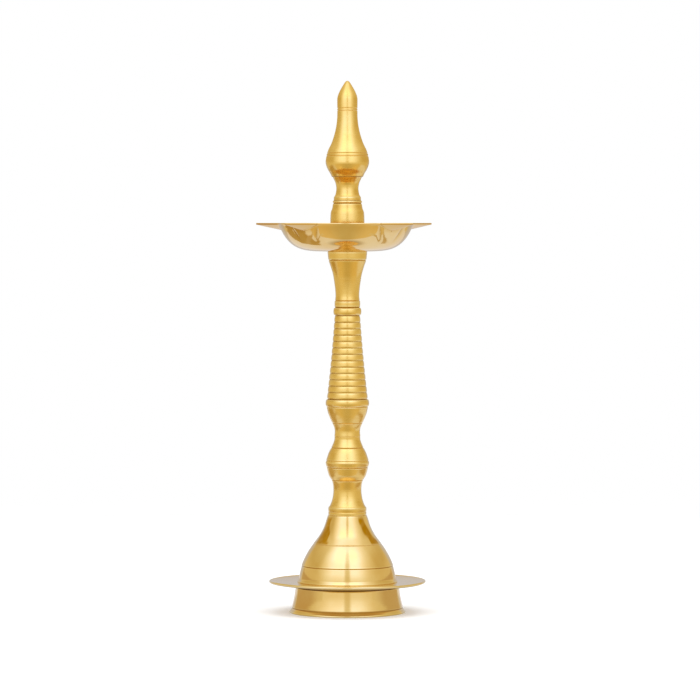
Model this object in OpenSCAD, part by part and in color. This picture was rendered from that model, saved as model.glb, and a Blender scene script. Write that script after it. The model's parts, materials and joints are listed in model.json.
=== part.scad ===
// Brass standing oil lamp with a five-spouted dish, in turned pieces that screw together.
// Millimetres, +Z up. The origin is on the lamp's axis, on the plane that its foot stands on.
// Outlines are lists of [radius, height], run up the outside and down the inside.

/* [Base] */
// Outer radius of the foot ring where it meets the table
foot_r = 44.6; // [42:0.2:48]
// Height of the foot ring
foot_h = 19.4; // [18:0.2:22]
// Radius of the drip plate
plate_r = 60; // [54:0.5:66]
// Thickness of the drip plate
plate_t = 1.6; // [1.2:0.1:2.2]
// Height of the bell's top, where the stem is screwed on
base_h = 74.5; // [73:0.5:78]

/* [Stem] */
// Height of the lower, baluster part of the stem
baluster_h = 83.1; // [80:0.1:88]
// Height of the upper, ribbed part of the stem
column_h = 118.7; // [115:0.1:125]
// Number of turned ribs on the column
rib_count = 13; // [9:1:16]

/* [Oil dish] */
// Radius of the dish's round rim between two spouts
dish_r = 51.6; // [48:0.1:54]
// How far the hand-beaten bowl stands to the left of the hole in its floor
dish_shift = 1; // [0:0.1:2]
// Depth of the dish from its rim to its underside
dish_depth = 21.7; // [20:0.1:24]
// Reach of a spout's tip from the bowl's middle
spout_reach = 72; // [66:0.5:76]
// How far below a spout's tip its keel meets the bowl
spout_depth = 4.7; // [4:0.1:8]
// Angle from a spout's middle to where its lip leaves the round rim, in degrees
spout_half_angle = 16; // [12:1:22]

/* [Finial] */
// Height of the finial's lower piece
neck_h = 55.1; // [54:0.1:58]
// Height of the finial's upper piece
crown_h = 73.2; // [70:0.1:76]

/* [Screws] */
// Radius of the studs in the base and in the stem
stud_r = 5; // [4.5:0.1:5.5]
// Thread pitch of those studs
stud_pitch = 1.5; // [1.25:0.25:1.75]
// Radius of the finial's stud
finial_stud_r = 4; // [3.5:0.1:4.4]
// Thread pitch of the finial's stud
finial_pitch = 1.25; // [1:0.25:1.5]
// Turns of thread that hold each joint
turns = 8; // [6:1:9]
// Radial clearance of a stud in its hole
fit = 0.05; // [0.03:0.01:0.08]

/* [Hidden] */
// Directions of the hand-pinched spouts round the axis, in degrees from the front towards the right
spout_angles = [-105, -40, 45, 113, 187];
// Heights where one piece sits on the next
column_z = base_h + baluster_h;
dish_z = column_z + column_h;
rim_z = dish_z + dish_depth;
floor_t = 1.8;
floor_z = dish_z + floor_t;
crown_z = floor_z + neck_h;
// The bell's lower lip passes through the plate and the top of the foot ring
lip_r = 34;
plate_top = foot_h + 4.2;
plate_under = plate_top - plate_t;
// Washers lie in shallow recesses, so that metal meets metal around them
washer_t = 1.4;
stem_washer_r = 11.4;
gasket_r = 12.8;
finial_washer_r = 9.6;
recess_gap = 0.2;
// The bell's solid top, with the nut and its washer under it
bell_top_t = 10;
nut_washer_t = 1.6;
nut_h = 8;
nut_z = base_h - bell_top_t - nut_washer_t - nut_h;
// The studs' tips, their holes, and the core left in the castings
base_stud_foot = nut_z - 4.4;
base_stud_top = base_h + turns * stud_pitch;
finial_stud_foot = dish_z - washer_t - turns * finial_pitch;
column_hole = 11;
crown_hole = 13;
tip_gap = 0.4;
thread_spare = 3;
core_r = 4.2;
core_step = 1;
facets = 180;

// A smooth curve through the points, as a Catmull-Rom spline with n steps between two of them
function curve(p, n = 4) = concat(
    [for (i = [0 : len(p) - 2]) for (k = [0 : n - 1])
        let (t = k / n,
             a = p[max(i - 1, 0)],
             b = p[i],
             c = p[i + 1],
             d = p[min(i + 2, len(p) - 1)])
        0.5 * (2 * b + (c - a) * t + (2 * a - 5 * b + 4 * c - d) * t * t
               + (3 * b - a - 3 * c + d) * t * t * t)],
    [p[len(p) - 1]]);

// A turned groove centred at height z on a surface of radius r
function groove(r, z, depth = 0.45, width = 0.9) =
    [[r, z - width / 2], [r - depth, z], [r, z + width / 2]];

// A round bead from z0 to z1 that stands out from radius r
function bead(r, z0, z1, out, n = 8) =
    [for (i = [0 : n]) let (a = 180 * i / n) [r + out * sin(a), (z0 + z1) / 2 - (z1 - z0) / 2 * cos(a)]];

// Shallow round ribs up a slightly hollow taper, with a groove of the given depth under each
function ribs(r0, z0, r1, z1, count, swell, depth, sag, n = 6) =
    [for (i = [0 : count - 1]) for (k = [0 : n - 1])
        let (f = (i + k / n) / count,
             r = r0 + (r1 - r0) * f - sag * sin(180 * f))
        [r + (k == 0 ? -depth : swell * sin(180 * k / n)), z0 + (z1 - z0) * f]];

// Moves an outline's points up
function raised(p, z) = [for (q = p) q + [0, z]];

module turned(outline) {
    rotate_extrude($fn = facets)
        polygon(outline);
}

module washer(r_in, r_out, z, t) {
    turned([[r_in, z], [r_out, z], [r_out, z + t], [r_in, z + t]]);
}

// A threaded rod, as a plain cylinder of its outer radius with chamfered ends
module stud(r, z0, z1) {
    chamfer = 0.8;
    turned([[0, z0], [r - chamfer, z0], [r, z0 + chamfer], [r, z1 - chamfer], [r - chamfer, z1], [0, z1]]);
}

module foot_ring() {
    wall = 2.4;
    ledge = 2.2;
    band_h = 3.4;
    skirt = curve([[foot_r - 2.1, band_h + 1], [foot_r - 3.1, 8.5], [foot_r - 4.1, 13.5],
                   [foot_r - 4.9, foot_h]]);
    inside = curve([[foot_r - 4.9 - wall, foot_h - ledge], [foot_r - 4.1 - wall, 12.5],
                    [foot_r - 3.1 - wall, 7], [foot_r - 3.1, 0.6]]);
    color("gold")
        turned(concat(
            [[foot_r - 0.7, 0], [foot_r, 0.7], [foot_r - 1.9, band_h], [foot_r - 2.6, band_h + 0.4]],
            skirt,
            [[lip_r + fit, foot_h], [lip_r + fit, foot_h - ledge]],
            inside,
            [[foot_r - 2.9, 0]]));
}

module drip_plate() {
    collar_r = 38.4;
    lip = 1;
    rise = 0.7;
    top = curve([[plate_r - 0.8, plate_top + rise + 0.45], [plate_r - 2.4, plate_top + rise],
                 [plate_r - 9, plate_top + 0.25], [collar_r + 2, plate_top]]);
    under = curve([[collar_r + 2, plate_under], [plate_r - 9, plate_under + 0.25],
                   [plate_r - lip, plate_under + rise]]);
    color("gold")
        turned(concat(
            [[lip_r + fit, foot_h], [collar_r, foot_h], [collar_r, plate_under]],
            under,
            [[plate_r - 0.2, plate_under + rise + 0.5], [plate_r, plate_top + rise - 0.4],
             [plate_r - 0.2, plate_top + rise + 0.2]],
            top,
            [[lip_r + fit, plate_top]]));
}

module base_bell() {
    wall = 2.5;
    flange_r = 38.3;
    shoulder = curve([[37.1, plate_top + 2.8], [36.3, 30.6], [35.3, 34.6]]);
    dome = curve([[34.9, 36.8], [33, 41.3], [29.7, 47.4], [26.1, 52.6]]);
    throat = curve([[25.6, 53.4], [21, 59.6], [17.8, 65.7], [15.8, base_h - 2.7], [14.9, base_h]]);
    cavity = curve([[12.4, base_h - bell_top_t], [18.2, 60], [23.6, 52.6], [30.6, 41.3], [32.9, 34],
                    [lip_r - wall, 27]]);
    color("gold")
        turned(concat(
            [[lip_r, foot_h - 2.6], [lip_r, plate_top], [flange_r, plate_top], [flange_r, plate_top + 0.7]],
            shoulder,
            groove(35.1, 35.9, 0.6, 1),
            dome,
            groove(25.85, 53, 0.25, 0.6),
            throat,
            [[stud_r + fit, base_h], [stud_r + fit, base_h - bell_top_t]],
            cavity,
            [[lip_r - wall, foot_h - 2.6]]));
}

module base_stud() {
    color("silver")
        stud(stud_r, base_stud_foot, base_stud_top);
}

module nut_washer() {
    loose = 0.3;
    color("silver")
        washer(stud_r + fit + loose, 11, nut_z + nut_h, nut_washer_t);
}

module base_nut() {
    across_flats = 17;
    flat_r = across_flats / 2;
    corner_r = 9.9;
    chamfer_h = 0.9;
    color("silver")
        intersection() {
            difference() {
                translate([0, 0, nut_z])
                    cylinder(d = across_flats / cos(30), h = nut_h, $fn = 6);
                translate([0, 0, nut_z - 1])
                    cylinder(r = stud_r + fit, h = nut_h + 2, $fn = facets);
            }
            turned([[0, nut_z], [flat_r, nut_z], [corner_r, nut_z + chamfer_h],
                    [corner_r, nut_z + nut_h - chamfer_h], [flat_r, nut_z + nut_h], [0, nut_z + nut_h]]);
        }
}

module stem_washer() {
    color("saddlebrown")
        washer(stud_r + fit, stem_washer_r, base_h, washer_t);
}

module stem_baluster() {
    foot = curve([[14.4, 6.1], [13.1, 8], [11.5, 12.5], [10.7, 18], [10.8, 22], [11.3, 25.2],
                  [11.8, 26.5]]);
    bulb_low = curve([[12.1, 27.3], [14.2, 30.9], [15.6, 36]]);
    bulb_top = curve([[16.1, 42.6], [15.3, 45], [14.2, 48.2], [12.6, 51.2]]);
    waist = curve([[12, 52.4], [10.8, 55.2], [9.9, 58], [9.8, 60]]);
    swell = curve([[9.85, 61], [9.6, 64.5], [10.1, 67.5], [11.2, 70]]);
    cup = curve([[11.7, 71.2], [13.2, 74.4], [14.7, 78.2], [15.7, baluster_h - 0.5]]);
    socket = stud_pitch * turns + thread_spare;
    color("goldenrod")
        turned(raised(concat(
            [[stem_washer_r + recess_gap, 0], [14.3, 0], [14.5, 0.3]],
            groove(14.5, 2.7, 0.25, 0.7),
            [[14.6, 5.7]],
            foot,
            groove(11.95, 26.9, 0.35, 0.7),
            bulb_low,
            groove(15.75, 36.8, 0.5, 0.9),
            curve([[16, 37.6], [16.55, 40.1], [16.2, 41.6]]),
            groove(16.15, 42.1, 0.35, 0.7),
            bulb_top,
            groove(12.3, 51.9, 0.5, 0.8),
            waist,
            groove(9.85, 60.5, 0.2, 0.5),
            swell,
            groove(11.45, 70.6, 0.35, 0.7),
            cup,
            [[15.6, baluster_h], [stud_r + fit, baluster_h], [stud_r + fit, baluster_h - column_hole]],
            [[core_r, baluster_h - column_hole - core_step], [core_r, socket + core_step],
             [stud_r + fit, socket], [stud_r + fit, washer_t]],
            [[stem_washer_r + recess_gap, washer_t]]), base_h));
}

module stem_column() {
    taper_z = 6.2;
    taper_top = 69.4;
    neck = curve([[9.3, 81.8], [9.05, 85.4], [9.5, 91.4], [10.9, 100.6], [12.6, 106.7], [14.1, 111]]);
    socket = washer_t + turns * finial_pitch + thread_spare;
    color("goldenrod")
        turned(raised(concat(
            [[15.3, 0]],
            bead(15.7, 0.3, 5.6, 0.9),
            [[15, 5.9]],
            ribs(15.4, taper_z, 9.5, taper_top, rib_count, 0.22, 0.32, 0.35),
            [[9.2, taper_top + 0.3]],
            bead(9.6, taper_top + 0.6, 75.7, 1.05),
            groove(9.55, 76.1, 0.45, 0.7),
            [[9.75, 76.6], [9.75, 80.6]],
            groove(9.5, 81.2, 0.45, 0.8),
            neck,
            groove(14.25, 112, 0.4, 0.8),
            [[14.6, 112.8], [15.1, column_h - 0.4], [14.9, column_h]],
            [[gasket_r + recess_gap, column_h], [gasket_r + recess_gap, column_h - washer_t]],
            [[finial_stud_r + fit, column_h - washer_t], [finial_stud_r + fit, column_h - socket]],
            [[core_r, column_h - socket - core_step], [core_r, column_hole + core_step],
             [stud_r + fit, column_hole], [stud_r + fit, 0]]),
            column_z));
}

module column_stud() {
    color("silver")
        stud(stud_r, column_z - column_hole + tip_gap, column_z + column_hole - tip_gap);
}

module dish_gasket() {
    color("saddlebrown")
        washer(finial_stud_r + fit, gasket_r, dish_z - washer_t, washer_t);
}

// The dish is a full, round bowl. Its wall is pulled out into spouts, whose keels rise straight to
// their tips.
dish_wall = 1.3;
rim_edge = 1.2;
spout_lift = 1;
bowl_fullness = 0.168;
bowl_floor_r = 22;
lower_rows = 7;
upper_rows = 5;
spout_steps = 7;
gap_steps = 5;

// Radius at height z of a bowl that goes from low to high, and is r wide at the top
function bowl_r(z, low, high, r) = max(r * pow((z - low) / (high - low), bowl_fullness), bowl_floor_r);

// Heights of the rows of points up a bowl: closest together at its floor, then even from the spouts' foot
function levels(low, foot, high) = concat(
    [for (i = [0 : lower_rows]) low + (foot - low) * pow(i / lower_rows, 2.2)],
    [for (i = [1 : upper_rows]) foot + (high - foot) * i / upper_rows]);

// How far a spout draws the wall out, at an angle from the spout's middle and a depth below the rim
function spout_pull(phi, depth) =
    let (s = min(max(depth / spout_depth, 0), 0.999),
         half_angle = spout_half_angle * pow(1 - s, 0.7))
    (spout_reach - dish_r) * (1 - s) * pow(max(1 - abs(phi) / half_angle, 0), 1.5);

// Columns of points round the dish, as [direction, angle from the spout's middle]
columns = [for (n = [0 : len(spout_angles) - 1])
    let (middle = spout_angles[n],
         next = n + 1 < len(spout_angles) ? spout_angles[n + 1] : spout_angles[0] + 360,
         gap = next - middle - 2 * spout_half_angle)
    each concat(
        [for (k = [-spout_steps : spout_steps])
            let (phi = sign(k) * spout_half_angle * pow(abs(k) / spout_steps, 1.3)) [middle + phi, phi]],
        [for (k = [1 : gap_steps - 1])
            [middle + spout_half_angle + gap * k / gap_steps, spout_half_angle]])];

// One row of points round the dish
function around(r, z, depth) = [for (c = columns)
    let (out = r + (depth < spout_depth ? spout_pull(c[1], depth) : 0))
    [out * sin(c[0]) - dish_shift, -out * cos(c[0]), z]];

module oil_dish() {
    top = rim_z - rim_edge;
    hole_r = finial_stud_r + 0.4;
    outer = [for (z = levels(dish_z, top - spout_depth, top))
        around(bowl_r(z, dish_z, top, dish_r), z, top - z)];
    edge = [around(dish_r - 0.1, rim_z, 0)];
    inner_levels = levels(floor_z, rim_z + spout_lift - spout_depth, rim_z);
    inner = [for (i = [len(inner_levels) - 1 : -1 : 0]) let (z = inner_levels[i])
        around(bowl_r(z, floor_z, rim_z, dish_r - dish_wall), z, rim_z + spout_lift - z)];
    rows = concat(outer, edge, inner);
    count = len(rows[0]);
    last = len(rows) - 1;
    points = [for (row = rows) for (p = row) p];
    sides = [for (i = [0 : last - 1]) for (k = [0 : count - 1])
        let (a = i * count + k,
             b = i * count + (k + 1) % count,
             c = a + count,
             d = b + count)
        each [[a, c, d], [a, d, b]]];
    under = [[for (k = [0 : count - 1]) k]];
    bottom = [[for (k = [count - 1 : -1 : 0]) last * count + k]];
    color("gold")
        difference() {
            polyhedron(points, concat(sides, under, bottom));
            translate([0, 0, dish_z - 1])
                cylinder(r = hole_r, h = floor_t + 2, $fn = facets);
        }
}

module finial_washer() {
    color("saddlebrown")
        washer(finial_stud_r + fit, finial_washer_r, floor_z, washer_t);
}

module finial_neck() {
    cup = curve([[14, 2.2], [12, 5.5], [11.6, 8.5], [12.4, 13], [13, 20.2], [12.9, 25.4], [12.6, 28.2],
                 [11.6, 31], [11.1, 34]]);
    throat = curve([[10.2, 39.7], [9.2, 41.4], [8.6, 44.3], [8.5, 47], [9.1, 50.4], [10.4, 53.4],
                    [11.3, neck_h]]);
    color("goldenrod")
        turned(raised(concat(
            [[finial_washer_r + recess_gap, 0], [14.2, 0], [14.6, 0.5], [14.6, 1.6]],
            cup,
            [[10.6, 34.7]],
            bead(10.4, 35, 37, 0.75),
            [[10.35, 37.3], [10.35, 39.3]],
            throat,
            [[finial_stud_r + fit, neck_h], [finial_stud_r + fit, washer_t]],
            [[finial_washer_r + recess_gap, washer_t]]), floor_z));
}

module finial_crown() {
    bulb = curve([[12.1, 0.4], [13.1, 2.6], [14.9, 5.6], [16.2, 8.8], [16.6, 11.2], [16.4, 13.6],
                  [16.1, 15.4]]);
    flare = curve([[15.2, 18.8], [14.2, 21.4], [12.8, 24.2], [11.5, 27.3], [9.6, 33.4], [8.35, 39.5],
                   [7.75, 45.5], [7.7, 49.8]]);
    spire = curve([[7.7, 59.8], [7.15, 62.2], [5.7, 65.6], [4, 68.6], [2.2, 71.5], [1.1, 72.8],
                   [0, crown_h]]);
    color("goldenrod")
        turned(raised(concat(
            [[finial_stud_r + fit, 0], [11.7, 0]],
            bulb,
            groove(15.95, 16, 0.45, 0.8),
            [[15.7, 17.2]],
            groove(15.5, 18.1, 0.45, 0.8),
            flare,
            groove(7.7, 50.4, 0.4, 0.8),
            groove(7.7, 52.2, 0.4, 0.8),
            spire,
            [[0, crown_hole], [finial_stud_r + fit, crown_hole]]), crown_z));
}

module finial_stud() {
    color("silver")
        stud(finial_stud_r, finial_stud_foot, crown_z + crown_hole - tip_gap);
}

foot_ring();
drip_plate();
base_bell();
base_stud();
base_nut();
nut_washer();
stem_washer();
stem_baluster();
stem_column();
column_stud();
dish_gasket();
oil_dish();
finial_washer();
finial_neck();
finial_crown();
finial_stud();
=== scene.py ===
"""Looks of the brass standing oil lamp. Metres, +Z up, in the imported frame."""
import json
import math

import bmesh
import bpy
import numpy as np
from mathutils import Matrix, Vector, noise


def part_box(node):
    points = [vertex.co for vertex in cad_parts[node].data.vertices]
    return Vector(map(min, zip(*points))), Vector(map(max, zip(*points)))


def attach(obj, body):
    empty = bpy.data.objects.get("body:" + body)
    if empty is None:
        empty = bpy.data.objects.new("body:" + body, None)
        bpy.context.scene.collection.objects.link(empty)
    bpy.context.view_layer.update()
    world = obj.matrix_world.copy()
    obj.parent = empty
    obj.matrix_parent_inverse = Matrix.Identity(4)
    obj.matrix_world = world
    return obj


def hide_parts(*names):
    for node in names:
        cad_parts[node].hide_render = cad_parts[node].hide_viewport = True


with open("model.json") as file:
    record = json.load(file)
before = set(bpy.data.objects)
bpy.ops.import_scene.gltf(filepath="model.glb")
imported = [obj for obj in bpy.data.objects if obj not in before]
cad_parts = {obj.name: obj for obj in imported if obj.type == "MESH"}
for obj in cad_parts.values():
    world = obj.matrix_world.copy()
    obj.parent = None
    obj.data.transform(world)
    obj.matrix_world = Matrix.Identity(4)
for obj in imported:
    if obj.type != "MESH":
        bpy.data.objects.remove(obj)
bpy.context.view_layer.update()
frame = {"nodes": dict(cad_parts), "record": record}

MM = 0.001
SEGMENTS = 180             # around each turned piece
BODY_OF = {node: body for body, nodes in frame["record"]["behaviour"]["bodies"].items() for node in nodes}
SLOT_OF = {part["node"]: part["material_slot"] for part in frame["record"]["subparts"]}


# ---------------------------------------------------------------- camera and studio

CAMERA_DISTANCE = 3.0
EYE_LEVEL = 0.298          # level with the dish's rim
AIM_HEIGHT = 0.201
AIM_RIGHT = 0.0020
LENS = 202


def aimed(thing, location, target):
    """The object at a place, with its -Z axis towards a target."""
    thing.location = location
    thing.rotation_mode = "QUATERNION"
    thing.rotation_quaternion = (Vector(target) - Vector(location)).to_track_quat("-Z", "Y")
    bpy.context.scene.collection.objects.link(thing)
    return thing


def add_camera():
    data = bpy.data.cameras.new("camera")
    data.lens = LENS
    data.sensor_width = 36
    data.clip_start = 0.05
    data.clip_end = 50
    camera = bpy.data.objects.new("camera", data)
    place = (AIM_RIGHT, -CAMERA_DISTANCE, EYE_LEVEL)
    bpy.context.scene.camera = aimed(camera, place, (AIM_RIGHT, 0, AIM_HEIGHT))


def softbox(name, location, target, size, radiance):
    """A rectangular light of an even radiance, that lights the floor and is not itself seen."""
    data = bpy.data.lights.new(name, "AREA")
    data.shape = "RECTANGLE"
    data.size, data.size_y = size
    data.energy = radiance * math.pi * size[0] * size[1]
    light = aimed(bpy.data.objects.new(name, data), location, target)
    light.visible_camera = light.visible_glossy = False


class Graph:
    """A node tree, with short ways to add nodes and join them."""

    def __init__(self, tree):
        self.tree = tree

    def add(self, kind, values=None, **settings):
        node = self.tree.nodes.new(kind)
        for name, value in settings.items():
            setattr(node, name, value)
        for name, value in (values or {}).items():
            if isinstance(value, bpy.types.NodeSocket):
                self.tree.links.new(value, node.inputs[name])
            else:
                node.inputs[name].default_value = value
        return node

    def math(self, operation, *terms, clamp=False):
        node = self.add("ShaderNodeMath", operation=operation, use_clamp=clamp)
        for i, term in enumerate(terms):
            if isinstance(term, bpy.types.NodeSocket):
                self.tree.links.new(term, node.inputs[i])
            else:
                node.inputs[i].default_value = term
        return node.outputs[0]

    def step(self, value, low, high, to_low=0.0, to_high=1.0):
        """A smooth step from to_low to to_high as value goes from low to high."""
        return self.add("ShaderNodeMapRange", {"Value": value, "From Min": low, "From Max": high,
                                               "To Min": to_low, "To Max": to_high},
                        interpolation_type="SMOOTHSTEP").outputs["Result"]

    def mix(self, factor, a, b):
        node = self.add("ShaderNodeMix", data_type="RGBA")
        for i, value in ((0, factor), (6, a), (7, b)):
            if isinstance(value, bpy.types.NodeSocket):
                self.tree.links.new(value, node.inputs[i])
            else:
                node.inputs[i].default_value = value if i == 0 else (*value, 1)
        return node.outputs[2]

    def join(self, a, b):
        self.tree.links.new(a, b)


WHITE = (1.0, 1.0, 1.0)
AMBIENT = (0.70, 0.70, 0.70)   # what the floor is lit by, besides the softboxes
BACK = (0.60, 0.59, 0.62)      # what the polish reflects: the paper sheet at the back,
PAPER = (0.82, 0.82, 0.92)     # the white paper that the lamp stands on,
SHADED_PAPER = (0.42, 0.36, 0.27)  # darker where the lamp shades it,
GAP = (0.50, 0.36, 0.14)       # the dim gap beside it at the left,
FRONT = (0.60, 0.50, 0.26)     # the floor before the table,
FRONT_SIDES = (0.76, 0.62, 0.33)
SIDE_SHADE = (0.56, 0.43, 0.24)    # and low, dim screens at both sides, painted shade near the floor for the foot to reflect,
TENT_PALE = (0.76, 0.68, 0.46)  # that fade into the tent at their front ends


def add_world():
    """Plain white to the camera, and an even light from all round."""
    scene = bpy.context.scene
    world = bpy.data.worlds.new("studio")
    scene.world = world
    world.use_nodes = True
    g = Graph(world.node_tree)
    world.node_tree.nodes.clear()
    out = g.add("ShaderNodeOutputWorld")
    shown = g.mix(g.add("ShaderNodeLightPath").outputs["Is Camera Ray"], AMBIENT, WHITE)
    g.join(g.add("ShaderNodeBackground", {"Color": shown}).outputs[0], out.inputs["Surface"])
    scene.view_settings.view_transform = "Standard"


def plain_object(name, bm, material):
    mesh = bpy.data.meshes.new(name)
    bm.to_mesh(mesh)
    bm.free()
    mesh.materials.append(material)
    made = bpy.data.objects.new(name, mesh)
    bpy.context.scene.collection.objects.link(made)
    return made


def only_reflected(name, bm, paint):
    """A piece of the studio that is seen in the polish and by nothing else."""
    paint.cycles.emission_sampling = "NONE"
    made = plain_object(name, bm, paint)
    made.visible_camera = made.visible_shadow = made.visible_diffuse = False
    made.visible_transmission = made.visible_volume_scatter = False


def glow(name):
    """A new emitting material: its graph, the place on the piece, and the turn and rise of that place.

    The turn is 0 towards the camera and below 0 at the left, and the rise is seen from the lamp's foot."""
    paint = bpy.data.materials.new(name)
    paint.use_nodes = True
    g = Graph(paint.node_tree)
    paint.node_tree.nodes.clear()
    place = g.add("ShaderNodeTexCoord").outputs["Object"]
    parts = g.add("ShaderNodeSeparateXYZ", {"Vector": place})
    x, y, z = (parts.outputs[axis] for axis in "XYZ")
    away = g.math("SQRT", g.math("ADD", g.math("MULTIPLY", x, x), g.math("MULTIPLY", y, y)))
    turn = g.math("ARCTAN2", x, g.math("MULTIPLY", y, -1.0))
    return paint, g, y, away, turn, g.math("ARCTAN2", z, away)


def emit(g, color):
    shining = g.add("ShaderNodeEmission", {"Color": color})
    g.join(shining.outputs[0], g.add("ShaderNodeOutputMaterial").inputs["Surface"])


BRIGHTEST_BLUE = 1.8           # the brass stays golden in its highlights
TENT_RADIUS = 0.9
TENT_HEIGHT = 2.6
TENT_FOOT = -0.05              # just below the floor, so that no gap shows


def add_reflected_studio():
    """The studio's walls and ceiling: a soft light in front with the camera's gap in it, and dim sides.

    The turns and rises are in radians."""
    bm = bmesh.new()
    spokes = 96
    low, high = ([bm.verts.new((TENT_RADIUS * math.cos(a), TENT_RADIUS * math.sin(a), z))
                  for a in (2 * math.pi * j / spokes for j in range(spokes))]
                 for z in (TENT_FOOT, TENT_HEIGHT))
    for j in range(spokes):
        bm.faces.new((low[j], low[(j + 1) % spokes], high[(j + 1) % spokes], high[j]))
    bm.faces.new(high)
    paint, g, _, _, turn, rise = glow("reflected_studio")
    # a level that rises overhead and dims at the sides, and a lobe of light in front with a narrow gap
    aside = g.math("ABSOLUTE", turn)
    lobe = g.step(g.math("ABSOLUTE", g.math("ADD", turn, 0.09)), 0.45, 1.40, 1.0, 0.0)
    lobe = g.math("MULTIPLY", lobe, g.step(rise, 0.05, 0.50, 0.15, 1.0))
    lobe = g.math("MULTIPLY", lobe, g.step(rise, 0.95, 1.35, 1.0, 0.1))
    gap = g.math("MULTIPLY", g.step(aside, 0.05, 0.17, 1.0, 0.0), g.step(rise, 0.30, 0.50, 0.95, 0.8))
    gap = g.math("MULTIPLY", gap, g.step(rise, 1.0, 1.25, 1.0, 0.0))
    lobe = g.math("MULTIPLY", lobe, g.math("SUBTRACT", 1.0, gap))
    level = g.math("ADD", g.step(rise, 0.45, 1.2, 0.76, 1.02), g.math("MULTIPLY", lobe, 0.46))
    sides = g.math("MULTIPLY", g.step(aside, 1.15, 1.60), g.step(rise, 0.25, 0.45, 0.04, 0.13))
    level = g.math("SUBTRACT", level, sides)
    blue = g.math("MINIMUM", g.math("POWER", level, 2.8), BRIGHTEST_BLUE)
    shown = g.add("ShaderNodeCombineColor", {"Red": level, "Green": g.math("POWER", level, 1.4),
                                             "Blue": blue}).outputs[0]
    behind = g.math("MULTIPLY", g.step(aside, 2.40, 2.55), g.step(rise, 0.32, 0.44, 1.0, 0.0))
    emit(g, g.mix(behind, shown, BACK))
    only_reflected("reflected_studio", bm, paint)


TABLE_EDGE = -0.098
CARD_HEIGHT = 0.0002


def add_reflected_ground():
    """The ground: white paper, its front edge, and a dim gap beside it at the left."""
    bm = bmesh.new()
    bm.faces.new([bm.verts.new((1.1 * TENT_RADIUS * x, 1.1 * TENT_RADIUS * y, CARD_HEIGHT))
                  for x, y in ((-1, -1), (1, -1), (1, 1), (-1, 1))])
    paint, g, y, away, turn, _ = glow("reflected_ground")
    front = g.mix(g.step(g.math("ABSOLUTE", turn), 0.12, 0.9), FRONT, FRONT_SIDES)
    paper = g.mix(g.step(away, 0.045, 0.12), SHADED_PAPER, PAPER)
    shown = g.mix(g.step(y, TABLE_EDGE - 0.004, TABLE_EDGE + 0.004), front, paper)
    dim = g.math("MULTIPLY", g.step(turn, -2.42, -2.38), g.step(turn, -1.5, -1.66))
    dim = g.math("MULTIPLY", dim, g.step(away, 0.15, 0.17))
    emit(g, g.mix(dim, shown, GAP))
    only_reflected("reflected_ground", bm, paint)


def add_side_shade_screens():
    """Two low, dim screens, one at each side, that only the foot is low enough to reflect: painted shade,
    standing in for the shade near the floor.
    """
    bm = bmesh.new()
    radius, height, first, last, steps = 0.23, 0.056, 0.90, 2.3, 24
    for side in (-1, 1):
        low, high = ([bm.verts.new((radius * math.sin(side * a), -radius * math.cos(a), z))
                      for a in (first + (last - first) * j / steps for j in range(steps + 1))]
                     for z in (2 * CARD_HEIGHT, height))
        for j in range(steps):
            bm.faces.new((low[j], low[j + 1], high[j + 1], high[j]))
    paint, g, _, _, turn, _ = glow("reflected_side_shade")
    inward = g.step(g.math("ABSOLUTE", turn), first, first + 0.6)
    emit(g, g.mix(inward, TENT_PALE, SIDE_SHADE))
    only_reflected("reflected_side_shade", bm, paint)


FLOOR_RADIUS = 1.4


def add_floor():
    """A round pale floor that fades into the white around it."""
    bm = bmesh.new()
    rings, spokes = 14, 96
    grid = [[bm.verts.new((radius * math.cos(a), radius * math.sin(a), 0))
             for a in (2 * math.pi * j / spokes for j in range(spokes))]
            for radius in (FLOOR_RADIUS * (i + 1) / rings for i in range(rings))]
    middle = bm.verts.new((0, 0, 0))
    for j in range(spokes):
        k = (j + 1) % spokes
        bm.faces.new((middle, grid[0][j], grid[0][k]))
        for i in range(rings - 1):
            bm.faces.new((grid[i][j], grid[i + 1][j], grid[i + 1][k], grid[i][k]))
    paint = bpy.data.materials.new("pale_floor")
    paint.use_nodes = True
    g = Graph(paint.node_tree)
    shader = paint.node_tree.nodes["Principled BSDF"]
    shader.inputs["Base Color"].default_value = (0.93, 0.93, 0.93, 1)
    shader.inputs["Roughness"].default_value = 0.9
    shader.inputs["Specular IOR Level"].default_value = 0.1
    shader.inputs["Emission Color"].default_value = (1, 1, 1, 1)
    shader.inputs["Emission Strength"].default_value = 0.22
    place = g.add("ShaderNodeTexCoord").outputs["Object"]
    away = g.add("ShaderNodeVectorMath", {0: place}, operation="LENGTH").outputs["Value"]
    g.join(g.step(away, 0.35, FLOOR_RADIUS * 0.95, 1.0, 0.0), shader.inputs["Alpha"])
    plain_object("floor", bm, paint).visible_glossy = False


add_camera()
add_world()
add_floor()
add_reflected_studio()
add_reflected_ground()
add_side_shade_screens()
AIM = (0, 0, 0.1)
softbox("softbox_top", (0, -0.4, 1.7), AIM, (1.8, 1.4), 1.6)
softbox("softbox_left", (-1.3, -1.2, 1.1), AIM, (1.4, 1.4), 0.8)
softbox("softbox_right", (1.3, -1.2, 1.1), AIM, (1.4, 1.4), 0.8)


# ---------------------------------------------------------------- materials

def finish_of(name):
    """A new material's graph, its shader and the place on the piece, which moves with it."""
    made = bpy.data.materials.new(name)
    made.use_nodes = True
    g = Graph(made.node_tree)
    return made, g, made.node_tree.nodes["Principled BSDF"], g.add("ShaderNodeTexCoord").outputs["Object"]


def around(g, place):
    """Distance from the axis and height, as a vector that is the same all round a turned piece."""
    parts = g.add("ShaderNodeSeparateXYZ", {"Vector": place})
    flat = g.add("ShaderNodeCombineXYZ", {"X": parts.outputs["X"], "Y": parts.outputs["Y"]})
    radius = g.add("ShaderNodeVectorMath", {0: flat.outputs[0]}, operation="LENGTH").outputs["Value"]
    return g.add("ShaderNodeCombineXYZ", {"X": radius, "Z": parts.outputs["Z"]}).outputs[0]


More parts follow.
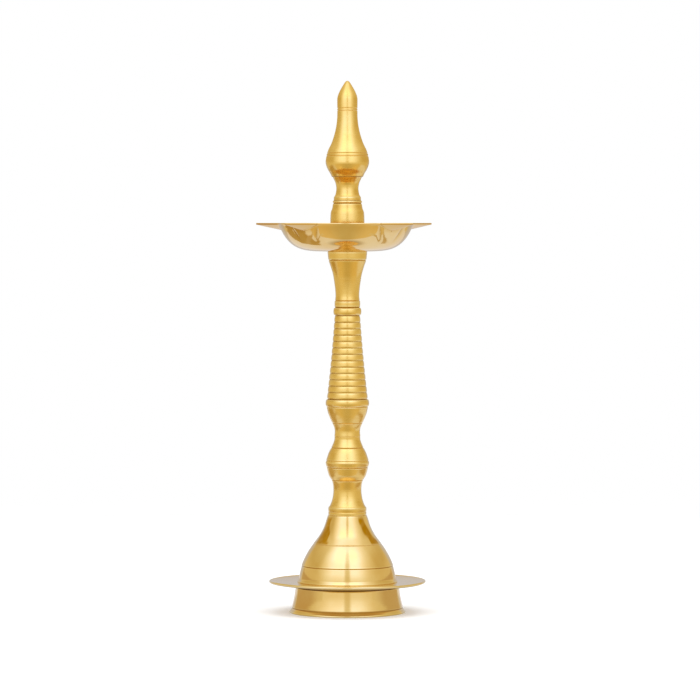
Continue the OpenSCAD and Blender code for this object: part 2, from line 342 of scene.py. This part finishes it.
def noise_of(g, vector, scale, detail=4.0, roughness=0.5):
    return g.add("ShaderNodeTexNoise", {"Vector": vector, "Scale": scale, "Detail": detail,
                                        "Roughness": roughness}).outputs["Fac"]


def bumped(g, height, distance, strength=1.0, normal=None):
    values = {"Height": height, "Distance": distance, "Strength": strength}
    if normal is not None:
        values["Normal"] = normal
    return g.add("ShaderNodeBump", values).outputs["Normal"]


PAINTED_REFLECTION_ORANGE = (0.62, 0.32, 0.006)
SHADE_AND_OLD_POLISH = (0.14, 0.055, 0.015)
WORN_RIDGE = (0.96, 0.80, 0.42)
CAST_DARK = (0.20, 0.11, 0.04)
CAST_PALE = (0.52, 0.33, 0.12)


def brass(name, pale, deep, gloss, tool_marks, anisotropy):
    """Brass: turning marks, cloudy colour, painted shade and old polish in the grooves, painted reflection
    patches, and rough cast insides.
    """
    made, g, shader, place = finish_of(name)
    recess = g.add("ShaderNodeAttribute", attribute_name="recess").outputs["Fac"]
    raw = g.add("ShaderNodeAttribute", attribute_name="raw").outputs["Fac"]
    dull = g.add("ShaderNodeAttribute", attribute_name="dull").outputs["Fac"]
    rings_place = around(g, place)
    fine = noise_of(g, rings_place, 2600, 3, 0.65)
    coarse = noise_of(g, rings_place, 620, 2, 0.6)
    squeezed = g.add("ShaderNodeMapping", {"Vector": place, "Scale": (40, 40, 2200)}).outputs[0]
    brushed = noise_of(g, squeezed, 1, 3, 0.6)
    clouds = noise_of(g, place, 42, 5, 0.6)
    grain = noise_of(g, place, 900, 6, 0.7)

    color = g.mix(g.step(clouds, 0.32, 0.68), deep, pale)
    # painted shade: the deeper a hollow lies below its surroundings, the darker it is, together with old
    # polish left in it
    color = g.mix(g.step(recess, 0.10, 0.55, 0.0, 0.88), color, SHADE_AND_OLD_POLISH)
    worn = g.step(recess, -0.05, -0.22, 0.0, 0.5)
    color = g.mix(worn, color, WORN_RIDGE)
    # painted reflection: orange patches that stand in for what the bell's throat and the spouts' flanks
    # reflect
    reflection_paint = g.add("ShaderNodeAttribute", attribute_name="reflection_paint").outputs["Fac"]
    color = g.mix(reflection_paint, color, PAINTED_REFLECTION_ORANGE)
    cast = g.mix(g.step(grain, 0.3, 0.75), CAST_DARK, CAST_PALE)
    g.join(g.mix(raw, color, cast), shader.inputs["Base Color"])
    shader.inputs["Metallic"].default_value = 1.0
    shader.inputs["Anisotropic"].default_value = anisotropy
    tangent = g.add("ShaderNodeTangent", direction_type="RADIAL", axis="Z")
    g.join(tangent.outputs[0], shader.inputs["Tangent"])

    rough = g.math("ADD", g.step(coarse, 0.3, 0.7, gloss * 0.75, gloss * 1.25),
                   g.step(clouds, 0.45, 0.8, 0, gloss * 0.35))
    rough = g.math("ADD", rough, g.step(recess, 0.05, 0.5, 0.0, 0.3))
    rough = g.math("ADD", rough, g.math("MULTIPLY", dull, 0.3))
    rough = g.math("ADD", rough, g.math("MULTIPLY", raw, 0.34), clamp=True)
    g.join(rough, shader.inputs["Roughness"])

    marks = g.math("ADD", g.math("MULTIPLY", fine, 0.5), g.math("MULTIPLY", coarse, 1.0))
    marks = g.math("ADD", marks, g.math("MULTIPLY", brushed, 0.35))
    turned = bumped(g, marks, tool_marks)
    pitted = bumped(g, g.math("MULTIPLY", grain, g.math("POWER", raw, 3.0)), 0.00022, normal=turned)
    g.join(pitted, shader.inputs["Normal"])
    return made


def steel():
    """Plain mild steel: grey, a little brown where it has been damp, darker in the thread."""
    made, g, shader, place = finish_of("mild_steel")
    mottle = noise_of(g, place, 420, 6, 0.6)
    recess = g.add("ShaderNodeAttribute", attribute_name="recess").outputs["Fac"]
    color = g.mix(g.step(mottle, 0.35, 0.62), (0.24, 0.17, 0.12), (0.50, 0.48, 0.45))
    g.join(g.mix(g.step(recess, 0.05, 0.5), color, (0.07, 0.05, 0.04)), shader.inputs["Base Color"])
    shader.inputs["Metallic"].default_value = 1.0
    g.join(g.step(mottle, 0.3, 0.7, 0.52, 0.3), shader.inputs["Roughness"])
    g.join(bumped(g, mottle, 0.00006), shader.inputs["Normal"])
    return made


def leather():
    """Dark vegetable-tanned leather, with its grain and a paler, fibrous cut edge."""
    made, g, shader, place = finish_of("leather")
    cells = g.add("ShaderNodeTexVoronoi", {"Vector": place, "Scale": 1500.0},
                  feature="DISTANCE_TO_EDGE").outputs["Distance"]
    stain = noise_of(g, place, 160, 5, 0.6)
    squeezed = g.add("ShaderNodeMapping", {"Vector": place, "Scale": (500, 500, 4000)}).outputs[0]
    fibre = noise_of(g, squeezed, 1, 4, 0.6)
    color = g.mix(g.step(stain, 0.3, 0.7), (0.085, 0.036, 0.016), (0.22, 0.105, 0.045))
    creased = g.step(cells, 0.0, 0.12, 0.55, 0.0)
    g.join(g.mix(creased, color, (0.03, 0.012, 0.006)), shader.inputs["Base Color"])
    g.join(g.step(stain, 0.3, 0.7, 0.62, 0.8), shader.inputs["Roughness"])
    grain = bumped(g, g.step(cells, 0.0, 0.16), 0.00007)
    g.join(bumped(g, fibre, 0.00008, normal=grain), shader.inputs["Normal"])
    return made


MATERIALS = {
    "polished_brass": brass("polished_brass", (0.92, 0.69, 0.31), (0.89, 0.62, 0.24), 0.09, 0.000012, 0.35),
    "turned_brass": brass("turned_brass", (0.93, 0.67, 0.23), (0.89, 0.59, 0.16), 0.22, 0.000026, 0.45),
    "mild_steel": steel(),
    "leather": leather(),
}


def shown_as(mesh, node):
    """The new piece for a CAD node: it takes the node's place, body, slot and finish."""
    for face in mesh.polygons:
        face.use_smooth = True
    mesh.materials.append(MATERIALS[SLOT_OF[node]])
    piece = bpy.data.objects.new("look_" + node, mesh)
    bpy.context.scene.collection.objects.link(piece)
    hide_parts(node)
    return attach(piece, BODY_OF[node])


def add_values(mesh, name, values):
    mesh.attributes.new(name, "FLOAT", "POINT").data.foreach_set("value", np.asarray(values, np.float32))


# ---------------------------------------------------------------- turned pieces

ON_AXIS = 1e-6
CORNER = math.radians(26)      # a sharper turn than this in an outline is an edge
EDGE_CUT = 0.13 * MM           # how far back an edge is eased along each side
LONGEST_STEP = 2.2 * MM
TURN_STEP = math.radians(6)
RECESS_SPAN = 0.9 * MM         # how far to each side a hollow is measured


def outline_of(node):
    """The outline of a turned node as (radius, height) points in order, and whether it is a closed loop.

    A turned mesh has a seam where y is 0 and x is positive, and its edges there are the outline."""
    mesh = frame["nodes"][node].data
    joined = {}
    for edge in mesh.edges:
        ends = [mesh.vertices[i].co for i in edge.vertices]
        if any(abs(p.y) > ON_AXIS or p.x < -ON_AXIS for p in ends):
            continue
        a, b = ((round(p.x, 7), round(p.z, 7)) for p in ends)
        if a != b:
            joined.setdefault(a, set()).add(b)
            joined.setdefault(b, set()).add(a)
    on_axis = sorted((p for p in joined if p[0] < ON_AXIS), key=lambda p: p[1])
    path = [on_axis[0]] if on_axis else [min(joined, key=lambda p: (p[1], p[0]))]
    path.append(max(joined[path[0]]))
    while len(path) <= len(joined):
        onward = [p for p in joined[path[-1]] if p != path[-2] and p != path[0]]
        if not onward:
            break
        path.append(onward[0])
    points = np.array(path)
    closed = not on_axis
    if closed:
        r, z = points.T
        if np.sum(r * np.roll(z, -1) - np.roll(r, -1) * z) < 0:
            points = points[::-1]
    return points, closed


def turn_at(points, closed):
    """The angle that the outline turns by at each point."""
    ahead = np.roll(points, -1, 0) - points
    behind = points - np.roll(points, 1, 0)
    across = behind[:, 0] * ahead[:, 1] - behind[:, 1] * ahead[:, 0]
    turn = np.abs(np.arctan2(across, (behind * ahead).sum(1)))
    if not closed:
        turn[0] = turn[-1] = math.pi
    return turn


def spline(a, b, c, d, t):
    """A point from b to c on the smooth curve through four points, spaced by their distances."""
    def gap(p, q):
        return max(np.linalg.norm(q - p), 1e-9) ** 0.5
    t1 = gap(a, b)
    t2 = t1 + gap(b, c)
    t3 = t2 + gap(c, d)
    s = t1 + (t2 - t1) * t
    a1 = (t1 - s) / t1 * a + s / t1 * b
    a2 = (t2 - s) / (t2 - t1) * b + (s - t1) / (t2 - t1) * c
    a3 = (t3 - s) / (t3 - t2) * c + (s - t2) / (t3 - t2) * d
    b1 = (t2 - s) / t2 * a1 + s / t2 * a2
    b2 = (t3 - s) / (t3 - t1) * a2 + (s - t1) / (t3 - t1) * a3
    return (t2 - s) / (t2 - t1) * b1 + (s - t1) / (t2 - t1) * b2


def refined(points, closed, edge_cut=EDGE_CUT):
    """The outline with its curves made smooth and its edges slightly rounded."""
    n = len(points)
    turn = turn_at(points, closed)
    corner = turn > CORNER
    out = []
    for i in range(n):
        here = points[i]
        onward = points[(i + 1) % n]
        before = points[i - 1]
        if corner[i] and (closed or 0 < i < n - 1):
            cut_in = min(edge_cut, 0.3 * np.linalg.norm(here - before))
            cut_out = min(edge_cut, 0.3 * np.linalg.norm(onward - here))
            a = here + (before - here) / np.linalg.norm(before - here) * cut_in
            b = here + (onward - here) / np.linalg.norm(onward - here) * cut_out
            out += [(1 - t) ** 2 * a + 2 * t * (1 - t) * here + t * t * b for t in (0, 0.33, 0.67, 1)]
        else:
            out.append(here)
        if not closed and i == n - 1:
            break
        last = corner[(i + 1) % n]
        a = 2 * here - onward if corner[i] else before
        d = 2 * onward - here if last else points[(i + 2) % n]
        straight = corner[i] and last
        bend = 0 if straight else max(0 if corner[i] else turn[i], 0 if last else turn[(i + 1) % n])
        steps = max(math.ceil(bend / TURN_STEP), math.ceil(np.linalg.norm(onward - here) / LONGEST_STEP))
        for k in range(1, steps):
            t = k / steps
            out.append(here + (onward - here) * t if straight else spline(a, here, onward, d, t))
    kept = [out[0]]
    for p in out[1:]:
        if np.linalg.norm(p - kept[-1]) > 0.01 * MM:
            kept.append(p)
    return np.array(kept)


def outward_of(points, closed):
    """The direction away from the solid at each point of its outline."""
    along = np.roll(points, -1, 0) - np.roll(points, 1, 0)
    if not closed:
        along[0], along[-1] = points[1] - points[0], points[-1] - points[-2]
    along /= np.maximum(np.linalg.norm(along, axis=1, keepdims=True), 1e-12)
    return np.stack([along[:, 1], -along[:, 0]], 1)


def recess_of(points, closed):
    """How far each point lies below its surroundings, in millimetres; a ridge is below zero."""
    loop = np.concatenate([points] * 3) if closed else points
    s = np.concatenate([[0], np.cumsum(np.linalg.norm(np.diff(loop, axis=0), axis=1))])
    here = slice(len(points), 2 * len(points)) if closed else slice(None)
    middle = sum(np.stack([np.interp(s[here] + way, s, loop[:, i]) for i in (0, 1)], 1)
                 for way in (-RECESS_SPAN, RECESS_SPAN)) / 2
    return ((middle - points) * outward_of(points, closed)).sum(1) / MM


def lathed(name, points, closed, segments=SEGMENTS, wave=None):
    """The outline turned round the axis. wave(radius, height, angle) may move a point off its circle."""
    bm = bmesh.new()
    rows = []
    for r, z in points:
        if r < ON_AXIS:
            rows.append([bm.verts.new((0, 0, z))] * segments)
            continue
        row = []
        for j in range(segments):
            angle = 2 * math.pi * j / segments
            dr, dz = wave(r, z, angle) if wave else (0, 0)
            row.append(bm.verts.new(((r + dr) * math.cos(angle), (r + dr) * math.sin(angle), z + dz)))
        rows.append(row)
    pairs = zip(rows, rows[1:] + rows[:1]) if closed else zip(rows, rows[1:])
    for low, high in pairs:
        for j in range(segments):
            k = (j + 1) % segments
            corners = list(dict.fromkeys((low[j], low[k], high[k], high[j])))
            bm.faces.new(corners)
    mesh = bpy.data.meshes.new(name)
    bm.to_mesh(mesh)
    bm.free()
    return mesh


def spread(points, values, segments=SEGMENTS):
    """Values of the outline's points, one for each vertex of the turned mesh."""
    return np.concatenate([[v] * (1 if p[0] < ON_AXIS else segments) for p, v in zip(points, values)])


def turned_piece(node, raw_inside=False, wave=None, segments=SEGMENTS, edge_cut=EDGE_CUT,
                 extra_shade=None, stain=None):
    """A turned piece. The function given for extra painted shade, of (radius, height), darkens it as if
    shaded, and the function given of the place says how strongly painted reflection patches cover it."""
    points, closed = outline_of(node)
    points = refined(points, closed, edge_cut)
    mesh = lathed(node, points, closed, segments, wave)
    recess = recess_of(points, closed) + (np.array([extra_shade(r, z) for r, z in points]) if extra_shade else 0)
    add_values(mesh, "recess", spread(points, recess, segments))
    if stain:
        add_values(mesh, "reflection_paint", [stain(v.co) for v in mesh.vertices])
    raw = (outward_of(points, closed)[:, 0] < -0.2) & raw_inside
    add_values(mesh, "raw", spread(points, raw.astype(float), segments))
    return shown_as(mesh, node)


def spun_sheet(r, z, angle):
    """The slight waves that spinning and handling leave in a thin plate's edge."""
    share = max(0, (r - 40 * MM) / (20 * MM)) ** 1.5
    return 0, share * MM * (0.16 * math.sin(2 * angle + 0.6) + 0.07 * math.sin(5 * angle + 2.1))


def shade_under_the_plate(r, z):
    """Painted shade under the drip plate, darkest at the seam with the foot ring."""
    low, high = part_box("drip_plate")
    return 0.28 + 0.9 * max(1 - (z - low.z) / (0.9 * MM), 0) if r < 39 * MM and z < high.z - 2.2 * MM else 0


BELL_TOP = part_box("base_bell")[1].z
REFLECTION_PATCH_LENGTH = 21.5 * MM
# degrees: where a painted reflection patch's middle starts, how far it shifts on the way down, and its half
# width likewise
LEFT_REFLECTION_PATCH = (-62, 6, 13, 5)
RIGHT_REFLECTION_PATCH = (40, 17, 9, 6)


def throat_painted_reflection(place):
    """Two ragged orange-brown patches of painted reflection in the bell's throat, to the left and the right
    of its front, standing in for the dim sides of the room that it reflects.
    """
    down = (BELL_TOP - place.z) / REFLECTION_PATCH_LENGTH
    phi = math.degrees(math.atan2(place.x, -place.y)) + 7 * noise.noise(place * 160)
    if not 0 < down < 1 or abs(phi) > 90:
        return 0
    start, shift, width, widening = LEFT_REFLECTION_PATCH if phi < 0 else RIGHT_REFLECTION_PATCH
    edge = min(max((width + widening * down - abs(phi - (start + shift * down))) / 3, 0), 1)
    ends = min(down / 0.12, (1 - down) / 0.05, 1)
    return edge * ends * (0.95 + 0.3 * noise.noise(place * 330))


turned_piece("foot_ring", raw_inside=True)
# the drip plate's collar gets painted shade where the plate hangs over it
turned_piece("drip_plate", wave=spun_sheet, segments=216, extra_shade=shade_under_the_plate)
# the bell's throat gets painted reflection patches
turned_piece("base_bell", raw_inside=True, segments=300, stain=throat_painted_reflection)
turned_piece("stem_baluster", raw_inside=True)
turned_piece("stem_column", raw_inside=True)
turned_piece("finial_neck", raw_inside=True)
turned_piece("finial_crown")


def cut_by_hand(r, z, angle):
    """A washer cut out of hide: not quite round, and not quite even in thickness."""
    if r < 6 * MM:
        return 0, 0
    return -MM * (0.09 + 0.05 * math.sin(3 * angle + 1) + 0.04 * math.sin(7 * angle)), 0


for node in ("stem_washer", "dish_gasket", "finial_washer"):
    turned_piece(node, wave=cut_by_hand, segments=96, edge_cut=0.3 * MM)
turned_piece("nut_washer", segments=96, edge_cut=0.25 * MM)


# ---------------------------------------------------------------- threaded rods and the nut

def threaded_rod(node, pitch):
    """A rod with a real helical thread inside the plain rod's outline."""
    low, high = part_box(node)
    r, z0, z1 = high.x, low.z, high.z
    depth = 0.6 * pitch
    around_steps = 48
    # how far along a pitch, and how deep into the groove
    profile = [(0.0, 0.0), (0.08, 0.0), (0.44, 1.0), (0.56, 1.0), (0.92, 0.0)]
    turns = int((z1 - z0) / pitch) + 3
    chamfer = 0.8 * MM
    bm = bmesh.new()
    rows, cut = [], []
    for i in range(turns * len(profile)):
        share, sunk = profile[i % len(profile)]
        base = z0 + (i // len(profile) - 1 + share) * pitch
        row = []
        for j in range(around_steps):
            angle = 2 * math.pi * j / around_steps
            z = min(max(base + pitch * j / around_steps, z0), z1)
            limit = r - max(0, chamfer - min(z - z0, z1 - z))
            radius = min(r - depth * sunk, limit)
            row.append(bm.verts.new((radius * math.cos(angle), radius * math.sin(angle), z)))
            cut.append(sunk)
        rows.append(row)
    step = len(profile)
    for i in range(len(rows) - 1):
        for j in range(around_steps):
            if j + 1 < around_steps:
                bm.faces.new((rows[i][j], rows[i][j + 1], rows[i + 1][j + 1], rows[i + 1][j]))
            elif i + step + 1 < len(rows):
                bm.faces.new((rows[i][j], rows[i + step][0], rows[i + step + 1][0], rows[i + 1][j]))
    marks = bm.verts.layers.float.new("recess")
    for vert, value in zip(bm.verts, cut):
        vert[marks] = 0.6 * value
    bmesh.ops.remove_doubles(bm, verts=bm.verts, dist=1e-6)
    bmesh.ops.dissolve_degenerate(bm, edges=bm.edges, dist=1e-6)
    loose = [v for v in bm.verts if not v.link_faces]
    bmesh.ops.delete(bm, geom=loose, context="VERTS")
    ends = [e for e in bm.edges if e.is_boundary]
    bmesh.ops.holes_fill(bm, edges=ends, sides=0)
    bmesh.ops.recalc_face_normals(bm, faces=bm.faces)
    mesh = bpy.data.meshes.new(node)
    bm.to_mesh(mesh)
    bm.free()
    piece = shown_as(mesh, node)
    mesh.set_sharp_from_angle(angle=math.radians(28))
    return piece


threaded_rod("base_stud", 1.5 * MM)
threaded_rod("column_stud", 1.5 * MM)
threaded_rod("finial_stud", 1.25 * MM)


def hex_nut(node):
    """The nut's own solid, welded, with its edges eased."""
    bm = bmesh.new()
    bm.from_mesh(frame["nodes"][node].data)
    for layer in list(bm.verts.layers.float.values()):
        bm.verts.layers.float.remove(layer)
    bmesh.ops.remove_doubles(bm, verts=bm.verts, dist=1e-6)
    bmesh.ops.dissolve_limit(bm, angle_limit=math.radians(1), verts=bm.verts, edges=bm.edges)
    mesh = bpy.data.meshes.new(node)
    bm.to_mesh(mesh)
    bm.free()
    while mesh.attributes.get("custom_normal"):
        mesh.attributes.remove(mesh.attributes["custom_normal"])
    piece = shown_as(mesh, node)
    ease = piece.modifiers.new("eased", "BEVEL")
    ease.width = 0.2 * MM
    ease.segments = 2
    ease.limit_method = "ANGLE"
    ease.angle_limit = math.radians(28)
    ease.harden_normals = True
    return piece


hex_nut("base_nut")


# ---------------------------------------------------------------- the dish

DISH_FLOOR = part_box("oil_dish")[0].z
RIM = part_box("oil_dish")[1].z
DISH_R = 51.6 * MM
DISH_SHIFT = 1 * MM
SPOUT_REACH = 72 * MM
SPOUT_DEPTH = 4.7 * MM
SPOUT_HALF_ANGLE = 16
SPOUT_ANGLES = (-105, -40, 45, 113, 187)
DISH_WALL = 1.3 * MM
FLOOR_T = 1.8 * MM
RIM_EDGE = 1.2 * MM
SPOUT_LIFT = 1 * MM
BOWL_FULLNESS = 0.168
HOLE_R = 4.4 * MM
BOWL_FLOOR_R = 22 * MM
# the rim's outline, as millimetres in from the rim's circle, down from its top, and deep for the pinch
RIM_PROFILE = ((0, 0.12, 0), (0.03, 0.03, 0.02), (0.12, 0, 0.06), (0.95, 0, 0.62), (1.15, 0.05, 0.85))
KEEL_ROUND = 0.5                              # degrees that the fold of a spout is rounded over
CREASE_DEPTH = 15 * MM                        # how far below the rim the creases beside a spout run
CREASE = 0.75 * MM
DULL_RADIUS = 30 * MM                         # the polisher's wheel reaches no further in than this
OILED = 0.15                                  # how far the inside is from polished to raw
RIM_EASE = 0.14 * MM                          # how far the rim's inner edge is eased down
SEAT_R = 20 * MM                              # the stem and the finial seat within this, where no waves are


def spout_pull(phi, depth):
    """How far the pinch at angle phi from a spout's middle draws the wall out, at a depth below the rim."""
    s = min(max(depth / SPOUT_DEPTH, 0), 0.999)
    half = SPOUT_HALF_ANGLE * (1 - s) ** 0.7
    soft = min(KEEL_ROUND, 0.2 * half)
    off = math.sqrt(phi * phi + soft * soft) - soft * 0.5
    fold = max(1 - off / half, 0) ** 1.5
    return (SPOUT_REACH - DISH_R) * (1 - s) * fold


def crease(phi, depth):
    """How far the pinching has drawn the wall in beside a spout, and pushed it out under the keel."""
    down = depth / CREASE_DEPTH
    if not 0.08 < down < 1:
        return 0
    middle = SPOUT_HALF_ANGLE * (1.0 - 0.45 * down)
    strength = math.sin(math.pi * ((down - 0.08) / 0.92) ** 0.8) * CREASE
    side = math.exp(-((abs(phi) - middle) / 2.2) ** 2)
    under = 0.2 * math.exp(-(phi / (0.45 * middle)) ** 2)
    return strength * (side - under)


def along_crease(phi, depth, width):
    """How near a place is to a crease, from 0 to 1, and how far down and across the spout it is."""
    down = depth / CREASE_DEPTH
    if not 0 < down < 1:
        return 0, 1, 1
    middle = SPOUT_HALF_ANGLE * (1.0 - 0.45 * down)
    return math.sin(math.pi * down) * math.exp(-((abs(phi) - middle) / width) ** 2), down, abs(phi) / middle


def crease_shade(phi, depth):
    """Painted shade: the creases beside each spout darkened as if shaded."""
    return 0.30 * along_crease(phi, depth, 1.1)[0]


def spout_painted_reflection(phi, depth):
    """Painted reflection: an orange tone on a spout's flanks and beside its creases, standing in for what
    they reflect.
    """
    near, down, across = along_crease(phi, depth, 2.2)
    flank = max(1 - down / 0.5, 0) ** 0.5 * max(1 - across, 0) ** 0.3
    return 0.6 * max(flank, 0.7 * near)


def dish_columns():
    """Directions round the dish, closer together at each spout, with the angle from the spout's middle."""
    steps, between = 22, 16
    columns = []
    for n, middle in enumerate(SPOUT_ANGLES):
        onward = SPOUT_ANGLES[n + 1] if n + 1 < len(SPOUT_ANGLES) else SPOUT_ANGLES[0] + 360
        near = [SPOUT_HALF_ANGLE * math.copysign(abs(k / steps) ** 1.3, k)
                for k in range(-steps, steps + 1)]
        columns += [(middle + phi, phi) for phi in near]
        gap = onward - middle - 2 * SPOUT_HALF_ANGLE
        columns += [(middle + SPOUT_HALF_ANGLE + gap * k / between, SPOUT_HALF_ANGLE)
                    for k in range(1, between)]
    return columns


def bowl_rows(low, foot, high, r_top, top):
    """Rows of (radius, height, depth for the pinch) up a bowl, from its hole to its rim."""
    rows = []
    r_foot = r_top * ((foot - low) / (high - low)) ** BOWL_FULLNESS
    steps = 42
    for k in range(steps):
        r = HOLE_R + (r_foot - HOLE_R) * k / steps
        rows.append((r, low + (high - low) * (r / r_top) ** (1 / BOWL_FULLNESS), SPOUT_DEPTH))
    steps = 26
    for k in range(steps + 1):
        z = foot + (high - foot) * k / steps
        rows.append((r_top * ((z - low) / (high - low)) ** BOWL_FULLNESS, z, top - z))
    return rows


def dish():
    columns = dish_columns()

    def place(r, z, depth, column):
        angle, phi = math.radians(column[0]), column[1]
        out = r + (spout_pull(phi, depth) if depth < SPOUT_DEPTH else 0) - crease(phi, RIM - z)
        shift = DISH_SHIFT * min(max((r - HOLE_R) / (BOWL_FLOOR_R - HOLE_R), 0), 1)
        return Vector((out * math.sin(angle) - shift, -out * math.cos(angle), z))

    top = RIM - RIM_EDGE
    rows = bowl_rows(DISH_FLOOR, top - SPOUT_DEPTH, top, DISH_R, top)
    rows += [(DISH_R - inward * MM, RIM - down * MM, depth * MM) for inward, down, depth in RIM_PROFILE]
    inner = bowl_rows(DISH_FLOOR + FLOOR_T, RIM + SPOUT_LIFT - SPOUT_DEPTH, RIM,
                      DISH_R - DISH_WALL, RIM + SPOUT_LIFT)
    r, z, depth = inner[-1]
    inner[-1] = (r, z - RIM_EASE, depth + RIM_EASE)
    rows += inner[::-1]

    bm = bmesh.new()
    grid = [[bm.verts.new(place(r, z, depth, column)) for column in columns] for r, z, depth in rows]
    for i in range(len(rows)):
        low, high = grid[i], grid[(i + 1) % len(rows)]
        for j in range(len(columns)):
            k = (j + 1) % len(columns)
            bm.faces.new((low[j], low[k], high[k], high[j]))
    bmesh.ops.recalc_face_normals(bm, faces=bm.faces)
    bm.normal_update()
    # the polish is uneven: long, very shallow waves that bend what it reflects
    for vert in bm.verts:
        if math.hypot(vert.co.x, vert.co.y) < SEAT_R:
            continue
        swell = noise.noise(vert.co * 55) * 0.06 + noise.noise(vert.co * 140) * 0.015
        vert.co -= vert.normal * (abs(swell) * MM)
    mesh = bpy.data.meshes.new("oil_dish")
    bm.to_mesh(mesh)
    bm.free()
    inside = np.repeat(np.arange(len(rows)) >= len(rows) - len(inner), len(columns))
    radius = np.repeat([row[0] for row in rows], len(columns))
    near_stem = np.clip((DULL_RADIUS - radius) / (DULL_RADIUS - BOWL_FLOOR_R), 0, 1)
    add_values(mesh, "dull", np.where(inside, 0.5, 0.7 * near_stem))
    add_values(mesh, "raw", np.where(inside, OILED, 0))
    # painted shade in the creases, and painted reflection patches on the spouts' flanks
    for name, amount in (("recess", crease_shade), ("reflection_paint", spout_painted_reflection)):
        add_values(mesh, name, [amount(phi, RIM - z) for _, z, _ in rows for _, phi in columns] * ~inside)
    return shown_as(mesh, "oil_dish")


dish()
